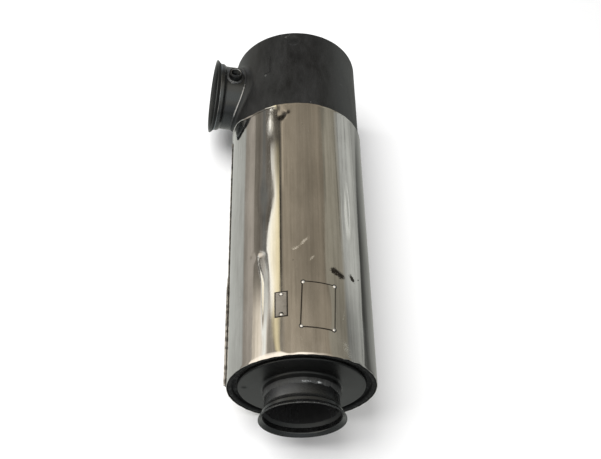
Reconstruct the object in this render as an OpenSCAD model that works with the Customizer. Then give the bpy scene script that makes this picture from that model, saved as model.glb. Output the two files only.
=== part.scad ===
// Heavy-duty exhaust muffler: a long round body with a radial inlet and an axial
// outlet. The body axis runs along Y. The origin is the centre of the outlet
// flange's face, the inlet leaves towards -X, and +Z is the side with the plates.

/* [Body] */
// Outside diameter of the steel shell
shell_d = 254; // [250:1:254]
// Sheet thickness of the shell
shell_t = 2; // [1.5:0.1:2.2]
// Length of the body between its two end faces
body_len = 741; // [730:1:760]
// Sheet thickness of the end caps
cap_t = 2; // [1.5:0.1:2]
// Width of the rolled bead round each end
bead_w = 9.1; // [8.5:0.1:9.5]
// Radius at which each end's flat disc turns into the groove
disc_r = 110.8; // [108:0.1:112]
// Depth of the groove between disc and bead
groove_depth = 8; // [7:0.5:12]

/* [Pipes] */
// Outside diameter of the inlet and outlet tubes
tube_d = 130; // [126:1:131]
// Wall of the inlet and outlet tubes
tube_t = 1.6; // [1.2:0.1:2.5]
// Outside diameter of the V-band flanges
flange_d = 151; // [148:1:154]
// Length of a flange, from its face to the tube
flange_len = 22; // [20:1:26]
// Distance from the outlet face to the body's end face
outlet_reach = 59; // [55:1:70]
// Distance from the body axis to the inlet face
inlet_reach = 177; // [172:1:190]
// Distance from the outlet face to the inlet axis
inlet_y = 705.7; // [700:0.1:708]

/* [Heat shield] */
// Outside diameter of the heat shield
shield_d = 260; // [260:1:262]
// Sheet thickness of the heat shield
shield_t = 0.8; // [0.5:0.1:0.8]
// Length of the heat shield
shield_len = 541; // [520:1:545]
// Height of the standing seam above the shield
seam_h = 4.5; // [2:0.5:5]
// Angle of the standing seam, from the top towards +X
seam_angle = -98; // [-102:1:-94]

/* [Plates] */
// Length of the large plate along the body
plate_len = 87; // [76:1:90]
// Width of the large plate across the body
plate_width = 58; // [50:1:60]
// Turn of the large plate on the shield
plate_turn = -3; // [-4:1:4]
// Length of the serial plate along the body
serial_len = 47; // [40:1:50]
// Angle that the serial plate covers
serial_angle = 9.4; // [7:0.1:9.6]

/* [Sensor port] */
// Outside diameter of the sensor bung
bung_d = 27; // [25:1:28]
// Tapping diameter of the M18 sensor thread
bung_hole_d = 16.8; // [16.5:0.1:17]
// Height of the bung's top above the inlet axis
bung_top = 79; // [77:1:82]

/* [Inside] */
// Positions of the three baffles along Y
baffle_y = [235, 420, 615];
// Diameter of a transfer tube
transfer_d = 50; // [44:1:52]
// Diameter of a perforation
perf_d = 8; // [6:1:10]
// Rings of perforations along the outlet core
core_rings = 14; // [8:1:16]
// Rings of perforations along the inlet diffuser
diffuser_rings = 8; // [5:1:9]

/* [Hidden] */
$fn = 96;

// Radii that several parts share
shell_r = shell_d / 2;
shell_in = shell_r - shell_t;
shield_r = shield_d / 2;
shield_in = shield_r - shield_t;
tube_r = tube_d / 2;
tube_in = tube_r - tube_t;
flange_r = flange_d / 2;
core_in = tube_r + 0.2;
core_r = core_in + 1.5;
bead_r = shell_r + 0.1 + cap_t;
bend = 2.5;
collar_h = 10;
collar_r = tube_r + 0.2 + cap_t;
collar_bend = 4;

// Places along the body
face_y = outlet_reach;
far_y = outlet_reach + body_len;
shield_y0 = face_y - 0.5;
shield_y1 = shield_y0 + shield_len;
outlet_tube_end = face_y + 41;
core_y1 = baffle_y[1] + 20;
outlet_skirt = 15;
closed_skirt = 8;
cap_seam_y = far_y - closed_skirt;

// Places along the inlet
inlet_tube_end = -92;
diffuser_x0 = -104;
diffuser_x1 = 100;
bung_x = -inlet_reach + flange_len + bung_d / 2 + 0.7;
neck_h = 8.5;
neck_t = 2.5;

// Inside parts
baffle_t = 2;
rim_len = 14;
transfer_r = transfer_d / 2;
transfer_x = core_r + transfer_r + 3;

// Plates on the shield and on the shell
plate_t = 0.8;
plate_mid = 0.6;
plate_y = 150.4;
plate_rivet_inset = 1.6;
serial_mid = -27.2;
serial_y0 = 130;
serial_rivet_inset = 4;
tag_mid = -39.6;
tag_span = 7.2;
tag_y0 = 697;
tag_len = 43;

black = [0.05, 0.05, 0.055];
bare_weld = [0.3, 0.29, 0.28];
polished = [0.75, 0.75, 0.74];
inner_steel = [0.5, 0.5, 0.52];

// ---------- helpers ----------

// Turns a shape made about Z into one about the body axis, Y
module along_y(y = 0) {
    translate([0, y, 0]) rotate([-90, 0, 0]) children();
}

// Turns a shape made about Z so that Z runs along +X from x, on the inlet axis
module along_inlet(x = 0) {
    translate([x, inlet_y, 0]) rotate([0, 90, 0]) children();
}

// Puts a shape standing on +Z at an angle and a height above the body axis
module on_skin(angle, y, r) {
    translate([0, y, 0]) rotate([0, angle, 0]) translate([0, 0, r]) children();
}

// A tube of given radii, from z = 0 to len
module pipe(r_out, r_in, len) {
    difference() {
        cylinder(r = r_out, h = len);
        translate([0, 0, -1]) cylinder(r = r_in, h = len + 2);
    }
}

// A piece of a cylinder's wall: angles are from the top towards +X
module wall_patch(r_in, r_out, mid, span, y0, len) {
    along_y(y0) rotate([0, 0, mid - span / 2 - 90])
        rotate_extrude(angle = span) translate([r_in, 0]) square([r_out - r_in, len]);
}

function arc(c, r, a0, a1, n = 6) =
    [for (i = [0:n]) let (a = a0 + (a1 - a0) * i / n) [c[0] + r * cos(a), c[1] + r * sin(a)]];

// ---------- end caps ----------

// Front of a cap whose rim has radius r, from the disc's edge to the skirt:
// x is the radius, y the depth
function cap_front(r, skirt) = concat(
    arc([disc_r - bend, bend], bend, -90, 0),
    arc([disc_r + bend, groove_depth - bend], bend, 180, 90),
    arc([r - bead_w - bend, groove_depth - bend], bend, 90, 0),
    arc([r - bead_w / 2, bead_w / 2], bead_w / 2, 180, 360, 12),
    [[r, skirt]]);

// Back of the same sheet, from the skirt to the disc's edge
function cap_back(r, skirt) = concat(
    [[r - cap_t, skirt]],
    arc([r - bead_w / 2, bead_w / 2], bead_w / 2 - cap_t, 360, 180, 12),
    arc([r - bead_w - bend, groove_depth - bend], bend + cap_t, 0, 90),
    arc([disc_r + bend, groove_depth - bend], bend + cap_t, 90, 180),
    arc([disc_r - bend, bend], bend - cap_t, 0, -90));

// The cap at the outlet, with a drawn collar round the tube
module outlet_end_cap() {
    color(black) along_y(face_y) rotate_extrude() polygon(concat(
        [[collar_r - cap_t, -collar_h], [collar_r, -collar_h]],
        arc([collar_r + collar_bend, -collar_bend], collar_bend, 180, 90),
        cap_front(bead_r, outlet_skirt), cap_back(bead_r, outlet_skirt),
        arc([collar_r + collar_bend, -collar_bend], collar_bend + cap_t, 90, 180)));
}

// The plain cap at the closed end, butt-welded flush with the shell
module closed_end_cap() {
    color(black) translate([0, far_y, 0]) rotate([90, 0, 0])
        rotate_extrude() polygon(concat(
            [[0, 0]], cap_front(shell_r, closed_skirt), cap_back(shell_r, closed_skirt),
            [[0, cap_t]]));
}

// ---------- shell ----------

// Sheet along the inlet's saddle line, between two radii round the tube and two round the body
module saddle_ring(tube_from, tube_to, body_from, body_to) {
    intersection() {
        along_inlet(-shell_r - 30) pipe(tube_to, tube_from, shell_r);
        along_y(inlet_y - tube_r - 20) pipe(body_to, body_from, tube_d + 40);
    }
}

// Rolled sheet with a neck drawn out of it round the inlet
module shell() {
    y0 = face_y + cap_t + 0.6;
    hole_r = tube_r + 0.1;
    color(black) difference() {
        union() {
            along_y(y0) pipe(shell_r, shell_in, cap_seam_y - y0);
            saddle_ring(hole_r, hole_r + neck_t, shell_r - 1, shell_r + neck_h);
        }
        along_inlet(-shell_r - 30) cylinder(r = hole_r, h = shell_r);
    }
}

// Butt weld along the rolled sheet's edges, on the underside
module shell_seam_weld() {
    color(bare_weld) wall_patch(shell_r, shell_r + 1.2, 152, 2.4,
        shield_y1 + 2, cap_seam_y - shield_y1 - 4);
}

// ---------- outlet and inlet ----------

// V-band flange: a funnel mouth, a cone for the clamp and a neck down to the tube
module v_flange() {
    rotate_extrude() polygon([
        [flange_r - 1.3, 0], [flange_r, 0], [flange_r, 2.2],
        [tube_r + 4.6, 7.6], [tube_r + 4.1, 9], [tube_r + 4, 14.6],
        [tube_r + 3.4, 15.8], [tube_r + 0.6, 19.4], [tube_r, 20.6],
        [tube_r, flange_len], [tube_in, flange_len], [tube_in, 21],
        [tube_in + 0.4, 20.2], [tube_r + 1.8, 15.4], [tube_r + 2, 14.6],
        [tube_r + 2, 6], [tube_r + 2.6, 4.9]]);
}

module outlet_flange() {
    color(black) along_y() v_flange();
}

module outlet_tube() {
    color(black) along_y(flange_len) pipe(tube_r, tube_in, outlet_tube_end - flange_len);
}

// Fillet weld between the collar's lip and the tube
module outlet_collar_weld() {
    weld_y = face_y - collar_h;
    color(bare_weld) along_y() rotate_extrude() polygon([
        [tube_r, weld_y - 10.5], [tube_r + 1.2, weld_y - 9], [collar_r + 0.6, weld_y - 3],
        [collar_r + 0.8, weld_y - 1.2], [collar_r + 0.2, weld_y], [tube_r, weld_y]]);
}

module inlet_flange() {
    color(black) along_inlet(-inlet_reach) v_flange();
}

module inlet_tube() {
    x0 = -inlet_reach + flange_len;
    sensor_hole_r = bung_hole_d / 2 + 1;
    color(black) difference() {
        along_inlet(x0) pipe(tube_r, tube_in, inlet_tube_end - x0);
        translate([bung_x, inlet_y, 0]) cylinder(r = sensor_hole_r, h = tube_r + 5);
    }
}

// Weld bead between the tube and the lip of the shell's neck
module inlet_saddle_weld() {
    bead = 3;
    color(bare_weld)
        saddle_ring(tube_r, tube_r + bead, shell_r + neck_h, shell_r + neck_h + bead);
}

// Threaded boss for a sensor, saddle-cut to sit on the inlet tube
module sensor_bung() {
    chamfer = 1.4;
    color(black) difference() {
        translate([bung_x, inlet_y, 0]) cylinder(d = bung_d, h = bung_top);
        along_inlet(bung_x - bung_d) cylinder(r = tube_r, h = 2 * bung_d);
        translate([bung_x, inlet_y, 1]) cylinder(d = bung_hole_d, h = bung_top);
        translate([bung_x, inlet_y, bung_top - chamfer])
            cylinder(r1 = bung_hole_d / 2, r2 = bung_hole_d / 2 + 2 * chamfer, h = 2 * chamfer);
    }
}

module sensor_bung_weld() {
    bead = 3;
    color(bare_weld) intersection() {
        translate([bung_x, inlet_y, tube_r / 2]) pipe(bung_d / 2 + bead, bung_d / 2, tube_r);
        along_inlet(bung_x - bung_d) pipe(tube_r + bead, tube_r, 2 * bung_d);
    }
}

// ---------- heat shield ----------

module heat_shield() {
    color(polished) along_y(shield_y0) pipe(shield_r, shield_in, shield_len);
}

// Folded strip that closes the shield's two edges
module shield_seam_strip() {
    color([0.16, 0.15, 0.14])
        wall_patch(shield_r, shield_r + seam_h, seam_angle, 4.4, shield_y0 + 3, shield_len - 6);
}

module insulation_mat() {
    y0 = face_y + outlet_skirt + 1;
    color([0.85, 0.82, 0.74]) along_y(y0) pipe(shield_in - 0.1, shell_r + 0.1, shield_y1 - 7 - y0);
}

// ---------- plates and rivets ----------

// A domed rivet standing on a plate
module rivet() {
    head_r = 3.2;
    intersection() {
        translate([0, 0, -1.6]) sphere(r = head_r, $fn = 48);
        cylinder(r = head_r, h = head_r);
    }
}

module rivets_at(places) {
    for (p = places) on_skin(p[0], p[1], shield_r + plate_t) rivet();
}

// Angle that an arc length covers on the shield
function skin_angle(len) = len / shield_r * 180 / PI;

// A plate bent to the shield, slightly turned as it was riveted on by hand
module name_plate() {
    color([0.7, 0.69, 0.66]) intersection() {
        along_y(plate_y - plate_len) pipe(shield_r + plate_t, shield_r, 2 * plate_len);
        on_skin(plate_mid, plate_y, shield_r) rotate([0, 0, plate_turn])
            cube([plate_width, plate_len, 30], center = true);
    }
}

module name_plate_rivets() {
    half_x = plate_width / 2 - plate_rivet_inset;
    half_y = plate_len / 2 - plate_rivet_inset;
    color([0.85, 0.85, 0.85]) rivets_at([for (i = [-1, 1], j = [-1, 1])
        let (x = i * half_x * cos(plate_turn) - j * half_y * sin(plate_turn))
        let (y = i * half_x * sin(plate_turn) + j * half_y * cos(plate_turn))
        [plate_mid + skin_angle(x), plate_y + y]]);
}

module serial_plate() {
    color([0.7, 0.69, 0.66])
        wall_patch(shield_r, shield_r + plate_t, serial_mid, serial_angle, serial_y0, serial_len);
}

module serial_plate_rivets() {
    color([0.85, 0.85, 0.85]) rivets_at([for (y = [serial_rivet_inset, serial_len - serial_rivet_inset])
        [serial_mid, serial_y0 + y]]);
}

module shell_tag() {
    color(black)
        wall_patch(shell_r, shell_r + plate_t, tag_mid, tag_span, tag_y0, tag_len);
}

// ---------- inside ----------

// A flanged disc that fits the shell, with holes for the tubes that pass through it
module baffle(y, has_core, has_transfer) {
    along_y(y) difference() {
        union() {
            cylinder(r = shell_in, h = baffle_t);
            pipe(shell_in, shell_in - baffle_t, rim_len);
        }
        if (has_core) translate([0, 0, -1]) cylinder(r = core_r + 0.1, h = baffle_t + 2);
        if (has_transfer) for (s = [-1, 1])
            translate([s * transfer_x, 0, -1]) cylinder(r = transfer_r + 0.1, h = baffle_t + 2);
        children();
    }
}

module front_baffle() {
    color(inner_steel) baffle(baffle_y[0], true, false);
}

// The middle baffle also lets gas through a ring of holes
module middle_baffle() {
    vent_r = 7;
    vents = 5;
    vent_at = (core_r + shell_in) / 2;
    color(inner_steel) baffle(baffle_y[1], true, true)
        for (side = [0, 180], i = [0:vents - 1])
            rotate([0, 0, side + 42 + 24 * i])
                translate([vent_at, 0, -1]) cylinder(r = vent_r, h = baffle_t + 2);
}

module rear_baffle() {
    color(inner_steel) baffle(baffle_y[2], false, true);
}

// A tube with rings of round perforations, each cutter making two of them
module perforated_pipe(r_out, r_in, len, z0, pitch, rings) {
    per_ring = 4;
    difference() {
        pipe(r_out, r_in, len);
        for (i = [0:rings - 1], k = [0:per_ring - 1])
            translate([0, 0, z0 + i * pitch]) rotate([0, 90, (k + i % 2 / 2) * 180 / per_ring])
                cylinder(d = perf_d, h = 3 * r_out, center = true, $fn = 24);
    }
}

// Outlet tube's inner length, open to the middle chamber
module perforated_core() {
    y0 = outlet_tube_end - 15;
    len = core_y1 - y0;
    color(inner_steel) along_y(y0)
        perforated_pipe(core_r, core_in, len, 35, (len - 60) / core_rings, core_rings);
}

// Inlet tube's inner length, which spreads the gas across the rear chamber
module inlet_diffuser() {
    len = diffuser_x1 - diffuser_x0;
    color(inner_steel) along_inlet(diffuser_x0)
        perforated_pipe(core_r, core_in, len, 30, (len - 45) / diffuser_rings, diffuser_rings);
}

// Plug that closes the diffuser and steadies it on the far wall
module diffuser_plug() {
    boss_r = 18;
    lip = 8;
    color(inner_steel) intersection() {
        union() {
            along_inlet(diffuser_x1 - lip) cylinder(r = core_in, h = baffle_t);
            along_inlet(diffuser_x1 - lip) pipe(core_in, core_in - baffle_t, lip);
            along_inlet(diffuser_x1 - lip) cylinder(r = boss_r, h = 60);
        }
        along_y(inlet_y - 100) cylinder(r = shell_in, h = 200);
    }
}

module transfer_tube(side) {
    y0 = baffle_y[1] - 40;
    color(inner_steel) translate([side * transfer_x, 0, 0])
        along_y(y0) pipe(transfer_r, transfer_r - 1.5, baffle_y[2] + 15 - y0);
}

module transfer_tube_left() {
    transfer_tube(-1);
}

module transfer_tube_right() {
    transfer_tube(1);
}

// Fibre packed round the core, between the outlet cap and the front baffle
module absorption_packing() {
    y0 = face_y + groove_depth + cap_t + 3;
    color([0.9, 0.85, 0.6]) along_y(y0) pipe(shell_in - 0.2, core_r + 0.3, baffle_y[0] - 2 - y0);
}

// ---------- the assembly ----------

shell();
shell_seam_weld();
outlet_end_cap();
closed_end_cap();
outlet_tube();
outlet_flange();
outlet_collar_weld();
inlet_tube();
inlet_flange();
inlet_saddle_weld();
sensor_bung();
sensor_bung_weld();
heat_shield();
shield_seam_strip();
insulation_mat();
name_plate();
name_plate_rivets();
serial_plate();
serial_plate_rivets();
shell_tag();
front_baffle();
middle_baffle();
rear_baffle();
inlet_diffuser();
diffuser_plug();
perforated_core();
transfer_tube_left();
transfer_tube_right();
absorption_packing();
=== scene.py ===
import math

import bmesh
import bpy
import numpy as np
from mathutils import Matrix, Vector, noise


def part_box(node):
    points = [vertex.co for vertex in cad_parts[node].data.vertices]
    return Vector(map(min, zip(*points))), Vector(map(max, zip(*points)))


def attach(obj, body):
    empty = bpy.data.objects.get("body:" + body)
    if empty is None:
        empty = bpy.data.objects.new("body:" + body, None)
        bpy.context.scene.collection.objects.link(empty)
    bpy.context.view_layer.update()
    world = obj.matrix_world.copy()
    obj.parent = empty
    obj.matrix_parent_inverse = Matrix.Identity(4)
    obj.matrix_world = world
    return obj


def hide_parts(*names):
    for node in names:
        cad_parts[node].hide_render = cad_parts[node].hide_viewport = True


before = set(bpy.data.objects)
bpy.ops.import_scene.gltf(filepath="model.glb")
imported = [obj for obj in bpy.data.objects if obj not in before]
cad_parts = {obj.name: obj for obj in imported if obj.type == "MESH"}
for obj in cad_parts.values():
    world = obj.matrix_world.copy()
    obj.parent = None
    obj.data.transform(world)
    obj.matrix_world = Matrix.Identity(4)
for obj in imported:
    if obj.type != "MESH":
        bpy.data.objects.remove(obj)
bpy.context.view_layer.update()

# All shapes are worked out in millimetres in the row frame, then scaled to metres.
MM = 0.001


def node_box(node):
    lo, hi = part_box(node)
    return np.array(lo) / MM, np.array(hi) / MM


# ---------- driving sizes, from the frame ----------

shell_lo, shell_hi = node_box("shell")
shield_lo, shield_hi = node_box("heat_shield")
cap_lo, cap_hi = node_box("outlet_end_cap")
tube_lo, tube_hi = node_box("outlet_tube")
flange_lo, flange_hi = node_box("outlet_flange")
in_flange_lo, in_flange_hi = node_box("inlet_flange")
in_tube_lo, in_tube_hi = node_box("inlet_tube")
bung_lo, bung_hi = node_box("sensor_bung")
seam_lo, seam_hi = node_box("shield_seam_strip")

SHELL_R, SHELL_T = shell_hi[2], 2.0
SHIELD_R, SHIELD_T = shield_hi[2], 0.8
SHIELD_Y0, SHIELD_Y1 = shield_lo[1], shield_hi[1]
TUBE_R, TUBE_T = tube_hi[2], 1.6
BORE = TUBE_R - TUBE_T
FLANGE_R = flange_hi[2]
FLANGE_LEN = flange_hi[1] - flange_lo[1]
BEAD_R, CAP_T = cap_hi[2], 2.0
COLLAR_H = 10.0
FACE_Y = cap_lo[1] + COLLAR_H
FAR_Y = node_box("closed_end_cap")[1][1]
WELD_Y = node_box("outlet_collar_weld")[1][1]
INLET_X = in_flange_lo[0]
INLET_Y = (in_flange_lo[1] + in_flange_hi[1]) / 2
BUNG_X = (bung_lo[0] + bung_hi[0]) / 2
BUNG_R = (bung_hi[0] - bung_lo[0]) / 2
BUNG_TOP = bung_hi[2]
NECK_TOP, NECK_T = SHELL_R + 8.5, 2.5
SEAM_H = 4.5
FLOOR_Z = -SHIELD_R
FLOOR_TONES = (0.89,) * 3, (0.91,) * 3


# ---------- places: radius, angle and distance along an axis, to a point ----------

def points_of(x, y, z):
    return np.stack(np.broadcast_arrays(x, y, z), -1)


def about_body(r, a, s):
    """Angle 0 is the top, +Z, and it grows towards +X."""
    return points_of(r * np.sin(a), s, r * np.cos(a))


def about_inlet(r, a, s):
    """Angle 0 is +Y and 90 degrees is the top; s is X."""
    return points_of(s, INLET_Y + r * np.cos(a), r * np.sin(a))


def about_bung(r, a, s):
    return points_of(BUNG_X + r * np.cos(a), INLET_Y + r * np.sin(a), s)


def angle_of(p):
    """Each point's angle about the body."""
    return np.arctan2(p[:, 0], p[:, 2])


def off_body(p):
    """Each point's distance from the body's axis."""
    return np.hypot(p[:, 0], p[:, 2])


def off_inlet(p):
    return np.hypot(p[:, 1] - INLET_Y, p[:, 2])


def full_turn(count):
    return np.linspace(0, 2 * math.pi, count, endpoint=False)


def wobble(points, scale, seed):
    """Smooth noise from -1 to 1 at each point; scale is the size of a lump in millimetres."""
    shift = Vector((seed * 17.3, seed * 5.1, seed * 9.7))
    flat = points.reshape(-1, 3)
    values = [noise.noise(Vector(p) / scale + shift) for p in flat]
    return np.array(values).reshape(points.shape[:-1]) * 1.6


def wrapped(a):
    """The same angle between -pi and pi."""
    return (a + math.pi) % (2 * math.pi) - math.pi


def bump(x, centre, width):
    """1 at the centre, falling away to 0 over about twice the width."""
    return np.exp(-((x - centre) / width) ** 2)


def step(x, lo, hi):
    """0 up to lo and 1 from hi on, with a smooth rise; lo may be the larger."""
    t = np.clip((x - lo) / (hi - lo), 0, 1)
    return t * t * (3 - 2 * t)


# ---------- outlines ----------

def soften(points, radius, steps=3):
    """A closed outline with each corner cut back by radius and rounded."""
    out = []
    count = len(points)
    for i, p in enumerate(points):
        p = np.array(p, float)
        before = np.array(points[i - 1], float) - p
        after = np.array(points[(i + 1) % count], float) - p
        start = p + before * min(radius / np.linalg.norm(before), 0.45)
        end = p + after * min(radius / np.linalg.norm(after), 0.45)
        for k in range(steps + 1):
            t = k / steps
            out.append((1 - t) ** 2 * start + 2 * t * (1 - t) * p + t * t * end)
    return np.array(out)


def divided(outline, longest, closed=True):
    """The outline with its long edges cut into pieces no longer than longest."""
    outline = np.array(outline, float)
    out = []
    count = len(outline)
    for i in range(count if closed else count - 1):
        a, b = outline[i], outline[(i + 1) % count]
        pieces = max(1, math.ceil(np.linalg.norm(b - a) / longest))
        out += [a + (b - a) * k / pieces for k in range(pieces)]
    if not closed:
        out.append(outline[-1])
    return np.array(out)


def arc(centre, radius, start, end, steps=8):
    """Points on a circle, angles in degrees."""
    angles = np.radians(np.linspace(start, end, steps + 1))
    return [(centre[0] + radius * math.cos(a), centre[1] + radius * math.sin(a)) for a in angles]


# ---------- meshes ----------

def grid_faces(rows, cols, wrap_rows, wrap_cols):
    faces = []
    for i in range(rows if wrap_rows else rows - 1):
        for j in range(cols if wrap_cols else cols - 1):
            k, m = (i + 1) % rows, (j + 1) % cols
            faces.append((i * cols + j, i * cols + m, k * cols + m, k * cols + j))
    return faces


def end_faces(rows, cols):
    """The two faces that close the ends of a grid whose columns wrap round."""
    last = (rows - 1) * cols
    return [tuple(range(cols)), tuple(last + k for k in reversed(range(cols)))]


def closed_mesh(name, points, faces):
    """A mesh in metres from points in millimetres, with doubles joined and faces turned outwards."""
    mesh = bpy.data.meshes.new(name)
    mesh.from_pydata((points.reshape(-1, 3) * MM).tolist(), [], faces)
    bm = bmesh.new()
    bm.from_mesh(mesh)
    bmesh.ops.remove_doubles(bm, verts=bm.verts, dist=1e-7)
    bmesh.ops.recalc_face_normals(bm, faces=bm.faces)
    bm.to_mesh(mesh)
    bm.free()
    return mesh


def add_object(name, data):
    made = bpy.data.objects.new(name, data)
    bpy.context.scene.collection.objects.link(made)
    return made


def make_piece(name, skin, nodes, slot, material, sharp=40, **masks):
    """Turns a skin, points in millimetres and faces, into a closed, smooth piece on the root body;
    each mask is a function for set_mask."""
    mesh = closed_mesh(name, *skin)
    mesh.shade_smooth()
    mesh.set_sharp_from_angle(angle=math.radians(sharp))
    mesh.materials.append(material)
    piece = add_object(name, mesh)
    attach(piece, "root")
    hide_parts(*nodes)
    for mask, value in masks.items():
        set_mask(piece, mask, value)
    return piece


def revolved(outline, count, place, shape=None, wrap=True):
    """Points and faces of an outline of (radius, along) pairs turned once round an axis."""
    a, r = np.meshgrid(full_turn(count), outline[:, 0], indexing="ij")
    s = np.tile(outline[:, 1], (count, 1))
    if shape:
        r, s = shape(r, a, s)
    return place(r, a, s), grid_faces(count, len(outline), True, wrap)


def wall(ys, radius, thickness):
    """The section of a rolled sheet: out along its outside and back along its inside."""
    return np.array([(radius, y) for y in ys] + [(radius - thickness, y) for y in reversed(ys)])


def set_mask(piece, name, value):
    """Stores a value from 0 to 1 at each vertex, worked out from its place in millimetres."""
    mesh = piece.data
    co = np.zeros(len(mesh.vertices) * 3)
    mesh.vertices.foreach_get("co", co)
    values = value(co.reshape(-1, 3) / MM)
    layer = mesh.attributes.new(name, "FLOAT", "POINT")
    layer.data.foreach_set("value", np.clip(values, 0, 1).astype(np.float32))


# ---------- materials ----------

def add_node(tree, kind, inputs=None, **settings):
    """A shader node; an input is a number, a vector, a colour or another node's output."""
    made = tree.nodes.new(kind)
    for key, value in settings.items():
        setattr(made, key, value)
    for key, value in (inputs or {}).items():
        if isinstance(value, bpy.types.NodeSocket):
            tree.links.new(value, made.inputs[key])
        else:
            made.inputs[key].default_value = value
    return made


class Surface:
    """A material with one Principled shader, and short names for the nodes that feed it."""

    def __init__(self, name, **sockets):
        self.material = bpy.data.materials.new(name)
        self.material.use_nodes = True
        self.tree = self.material.node_tree
        self.shader = self.tree.nodes["Principled BSDF"]
        for key, value in sockets.items():
            self.shader.inputs[key.replace("_", " ")].default_value = value

    def place(self, scale):
        """Object coordinates in metres, stretched by scale."""
        here = add_node(self.tree, "ShaderNodeTexCoord").outputs["Object"]
        return add_node(self.tree, "ShaderNodeMapping", {"Vector": here, "Scale": scale}).outputs[0]

    def noise(self, where, scale, detail=4, rough=0.55):
        inputs = {"Vector": where, "Scale": scale, "Detail": detail, "Roughness": rough}
        return add_node(self.tree, "ShaderNodeTexNoise", inputs).outputs["Fac"]

    def spread(self, value, lo, hi, to_lo=0, to_hi=1):
        inputs = {"Value": value, "From Min": lo, "From Max": hi, "To Min": to_lo, "To Max": to_hi}
        return add_node(self.tree, "ShaderNodeMapRange", inputs).outputs["Result"]

    def maths(self, operation, a, b=0):
        return add_node(self.tree, "ShaderNodeMath", {0: a, 1: b}, operation=operation).outputs[0]

    def plus(self, a, b):
        return self.maths("ADD", a, b)

    def minus(self, a, b):
        return self.maths("SUBTRACT", a, b)

    def times(self, a, b):
        return self.maths("MULTIPLY", a, b)

    def mix(self, factor, a, b):
        """A colour between a and b."""
        colours = {k: (*c, 1) if isinstance(c, tuple) else c for k, c in ((6, a), (7, b))}
        inputs = {"Factor": factor, **colours}
        return add_node(self.tree, "ShaderNodeMix", inputs, data_type="RGBA").outputs[2]

    def bump(self, height, strength, distance, below=None):
        inputs = {"Height": height, "Strength": strength, "Distance": distance}
        if below:
            inputs["Normal"] = below
        return add_node(self.tree, "ShaderNodeBump", inputs).outputs[0]

    def mask(self, name):
        """A mask stored by set_mask; it reads 0 on a piece that has none."""
        return add_node(self.tree, "ShaderNodeAttribute", attribute_name=name).outputs["Fac"]

    def finish(self, **outputs):
        """Links each output to the shader's socket of that name."""
        for key, output in outputs.items():
            self.tree.links.new(output, self.shader.inputs[key.replace("_", " ")])
        return self.material


# How the noise is stretched: not at all, along the body, into long streaks, and round the body
EVEN = (1, 1, 1)
LONGER = (1, 0.35, 1)
ALONG_BODY = (1, 0.03, 1)
ROUND_BODY = (1, 6, 1)

COOL_TINT = (0.86, 0.94, 1.0, 1.0)
# Bare steel, also used for painted highlights; a paler tone for dust and painted light; a dark tone for
# grime and painted shade
CHIPPED, DUST, GRIME = (0.34, 0.36, 0.39), (0.07,) * 3, (0.005,) * 3
STEEL_DULL, STEEL_BRIGHT = (0.50, 0.488, 0.476), (0.70, 0.69, 0.685)
# Pale scuffs; dark burnt stains and painted shade on the sheet; soot and painted shade on plain steel
SCUFFED, BURNT, SOOT = (0.85, 0.85, 0.84), (0.045, 0.04, 0.036), (0.03, 0.028, 0.026)


def black_paint(name, dark, light, rough, gloss=0.4):
    """High-temperature paint: fine orange peel, and where marked bare steel, which also stands for painted
    highlights, a paler tone for dust and for painted light, and a dark tone for dirt and for painted shade.
    """
    m = Surface(name, Specular_IOR_Level=gloss, Specular_Tint=COOL_TINT)
    where = m.place(EVEN)
    cloud = m.noise(m.place(LONGER), 30, 7, 0.7)
    grain = m.noise(where, 900, 2)
    tone = m.plus(m.times(cloud, 0.7), m.times(grain, 0.3))
    colour = m.mix(m.spread(tone, 0.36, 0.64), (dark,) * 3, (light,) * 3)
    roughness = m.spread(cloud, 0.3, 0.7, *rough)
    chip = m.spread(m.minus(m.plus(m.mask("bare"), m.noise(where, 620, 5, 0.75)), 1), 0, 0.06)
    colour = m.mix(chip, colour, CHIPPED)
    roughness = m.minus(roughness, m.times(chip, 0.08))
    colour = m.mix(m.mask("dust"), colour, DUST)
    grime = m.mask("grime")
    colour = m.mix(grime, colour, GRIME)
    roughness = m.plus(roughness, m.times(grime, 0.5))
    peel = m.bump(m.noise(where, 420, 3), 0.25, 0.0004)
    return m.finish(Metallic=chip, Base_Color=colour, Roughness=roughness,
                    Normal=m.bump(grain, 0.05, 0.0002, peel))


def skin_distances(m, plate):
    """Distances in metres from a plate's middle, across it and along it, on the shield."""
    x, y, z = add_node(m.tree, "ShaderNodeSeparateXYZ", {"Vector": m.place(EVEN)}).outputs
    u = m.times(m.minus(m.maths("ARCTAN2", x, z), plate["mid"]), SHIELD_R * MM)
    v = m.minus(y, plate["y"] * MM)
    c, s = math.cos(plate["turn"]), math.sin(plate["turn"])
    return m.plus(m.times(u, c), m.times(v, s)), m.minus(m.times(v, c), m.times(u, s))


def dirt_round(m, plate, width=1.3):
    """1 in a thin line of painted shade round the edge of a plate, where it meets the sheet, and 0 outside
    it.
    """
    across, along = skin_distances(m, plate)
    past_side = m.minus(m.maths("ABSOLUTE", across), plate["half_u"] * MM)
    past_end = m.minus(m.maths("ABSOLUTE", along), plate["half_v"] * MM)
    return m.spread(m.maths("MAXIMUM", past_side, past_end), 0.6 * width * MM, width * MM, 1, 0)


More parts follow.
